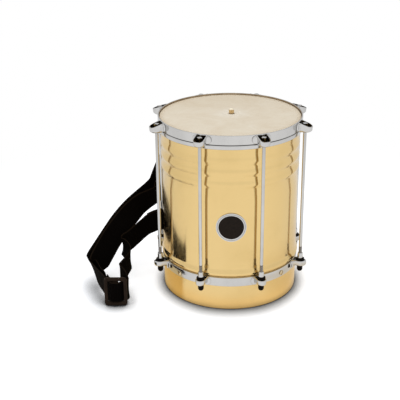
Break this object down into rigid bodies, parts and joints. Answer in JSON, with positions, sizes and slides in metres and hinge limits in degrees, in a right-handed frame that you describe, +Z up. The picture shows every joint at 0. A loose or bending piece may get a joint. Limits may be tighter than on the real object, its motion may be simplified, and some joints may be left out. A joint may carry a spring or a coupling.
{
  "type": "cuica",
  "caption": "Friction drum with a spun brass shell, a rod-tuned natural skin, a bamboo stick fixed to the skin from inside, and a webbing shoulder strap.",
  "frame": {"origin": "on the drum's axis, at the level of the shell's foot", "axes": "+Z up along the drum's axis; the badge faces -Y; the strap lies towards -X"},
  "size_m": [0.3375, 0.232, 0.2744],
  "materials": {
    "brass": "polished, clear lacquer",
    "chrome": "bright plate",
    "skin": "dry natural skin, mottled cream",
    "bamboo": "natural, bare",
    "lashing": "waxed cotton twine",
    "webbing": "woven black webbing",
    "plastic": "moulded black, satin",
    "badge": "dark enamel, bright double rim"
  },
  "bodies": {
    "drum": {"shell": "brass", "head_skin": "skin", "lower_ring": "chrome", "bushing_1": "plastic", "bushing_2": "plastic", "bushing_3": "plastic", "bushing_4": "plastic", "bushing_5": "plastic", "bushing_6": "plastic", "bushing_7": "plastic", "bushing_8": "plastic", "ferrule_1": "chrome", "ferrule_2": "chrome", "ferrule_3": "chrome", "ferrule_4": "chrome", "ferrule_5": "chrome", "ferrule_6": "chrome", "ferrule_7": "chrome", "ferrule_8": "chrome", "capped_nut_1": "plastic", "capped_nut_2": "plastic", "capped_nut_3": "plastic", "capped_nut_4": "plastic", "capped_nut_5": "plastic", "capped_nut_6": "plastic", "capped_nut_7": "plastic", "capped_nut_8": "plastic", "ring_screw_1": "brass", "ring_screw_2": "brass", "ring_screw_3": "brass", "ring_screw_4": "brass", "screw_nut_1": "chrome", "screw_nut_2": "chrome", "screw_nut_3": "chrome", "screw_nut_4": "chrome", "badge": "badge", "strap_sliding": "webbing", "strap_sewn": "webbing", "strap_buckle": "plastic"},
    "rim": {"counterhoop": "chrome", "flesh_hoop": "chrome", "rim_lug_1": "chrome", "rim_lug_2": "chrome", "rim_lug_3": "chrome", "rim_lug_4": "chrome", "rim_lug_5": "chrome", "rim_lug_6": "chrome", "rim_lug_7": "chrome", "rim_lug_8": "chrome"},
    "rod_1": {"tension_rod_1": "chrome"},
    "rod_2": {"tension_rod_2": "chrome"},
    "rod_3": {"tension_rod_3": "chrome"},
    "rod_4": {"tension_rod_4": "chrome"},
    "rod_5": {"tension_rod_5": "chrome"},
    "rod_6": {"tension_rod_6": "chrome"},
    "rod_7": {"tension_rod_7": "chrome"},
    "rod_8": {"tension_rod_8": "chrome"},
    "lashing": {"stick_lashing": "lashing"},
    "stick": {"bamboo_stick": "bamboo"}
  },
  "joints": [
    {"name": "rim_tension", "type": "slide", "parent": "drum", "child": "rim", "axis": [0, 0, 1], "range_m": [-0.0025, 0.0015]},
    {"name": "rod_1_turn", "type": "hinge", "parent": "rim", "child": "rod_1", "pos_m": [0.04355, -0.10514, 0.26], "axis": [0, 0, 1], "range_deg": [-1130, 680]},
    {"name": "rod_2_turn", "type": "hinge", "parent": "rim", "child": "rod_2", "pos_m": [0.10514, -0.04355, 0.26], "axis": [0, 0, 1], "range_deg": [-1130, 680]},
    {"name": "rod_3_turn", "type": "hinge", "parent": "rim", "child": "rod_3", "pos_m": [0.10514, 0.04355, 0.26], "axis": [0, 0, 1], "range_deg": [-1130, 680]},
    {"name": "rod_4_turn", "type": "hinge", "parent": "rim", "child": "rod_4", "pos_m": [0.04355, 0.10514, 0.26], "axis": [0, 0, 1], "range_deg": [-1130, 680]},
    {"name": "rod_5_turn", "type": "hinge", "parent": "rim", "child": "rod_5", "pos_m": [-0.04355, 0.10514, 0.26], "axis": [0, 0, 1], "range_deg": [-1130, 680]},
    {"name": "rod_6_turn", "type": "hinge", "parent": "rim", "child": "rod_6", "pos_m": [-0.10514, 0.04355, 0.26], "axis": [0, 0, 1], "range_deg": [-1130, 680]},
    {"name": "rod_7_turn", "type": "hinge", "parent": "rim", "child": "rod_7", "pos_m": [-0.10514, -0.04355, 0.26], "axis": [0, 0, 1], "range_deg": [-1130, 680]},
    {"name": "rod_8_turn", "type": "hinge", "parent": "rim", "child": "rod_8", "pos_m": [-0.04355, -0.10514, 0.26], "axis": [0, 0, 1], "range_deg": [-1130, 680]},
    {"name": "stick_tilt_x", "type": "hinge", "parent": "drum", "child": "lashing", "pos_m": [0.0019, 0.0032, 0.263], "axis": [1, 0, 0], "range_deg": [-2.5, 2.5], "stiffness_Nm_per_rad": 0.3},
    {"name": "stick_tilt_y", "type": "hinge", "parent": "lashing", "child": "stick", "pos_m": [0.0019, 0.0032, 0.263], "axis": [0, 1, 0], "range_deg": [-2.5, 2.5], "stiffness_Nm_per_rad": 0.3}
  ],
  "couplings": [
    {"joint": "rod_1_turn", "follows": "rim_tension", "rad_per_m": 7854},
    {"joint": "rod_2_turn", "follows": "rim_tension", "rad_per_m": 7854},
    {"joint": "rod_3_turn", "follows": "rim_tension", "rad_per_m": 7854},
    {"joint": "rod_4_turn", "follows": "rim_tension", "rad_per_m": 7854},
    {"joint": "rod_5_turn", "follows": "rim_tension", "rad_per_m": 7854},
    {"joint": "rod_6_turn", "follows": "rim_tension", "rad_per_m": 7854},
    {"joint": "rod_7_turn", "follows": "rim_tension", "rad_per_m": 7854},
    {"joint": "rod_8_turn", "follows": "rim_tension", "rad_per_m": 7854}
  ]
}
